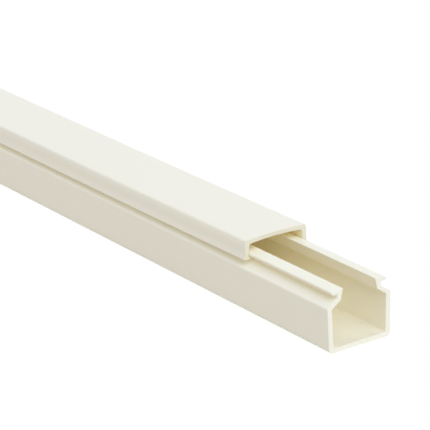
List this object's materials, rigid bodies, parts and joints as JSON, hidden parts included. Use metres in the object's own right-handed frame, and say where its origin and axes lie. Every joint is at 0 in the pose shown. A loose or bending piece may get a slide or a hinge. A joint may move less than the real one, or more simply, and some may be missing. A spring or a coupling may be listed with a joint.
{
  "type": "cord cover raceway",
  "caption": "Clip-on cord raceway: a straight plastic channel with lipped walls, and a crowned cover that clips over the lips and slides along them.",
  "frame": {"origin": "middle of the channel's flat back, on the floor", "axes": "+X along the length towards the end that the cover leaves open, +Z from the back towards the cover"},
  "size_m": [0.426, 0.0152, 0.015],
  "materials": {
    "cream_pvc": "satin extruded rigid PVC, cream white"
  },
  "bodies": {
    "channel": {"base_channel": "cream_pvc"},
    "cover": {"clip_cover": "cream_pvc"}
  },
  "joints": [
    {"name": "cover_slide", "type": "slide", "parent": "channel", "child": "cover", "axis": [1, 0, 0], "range_m": [-0.2, 0.026]}
  ]
}
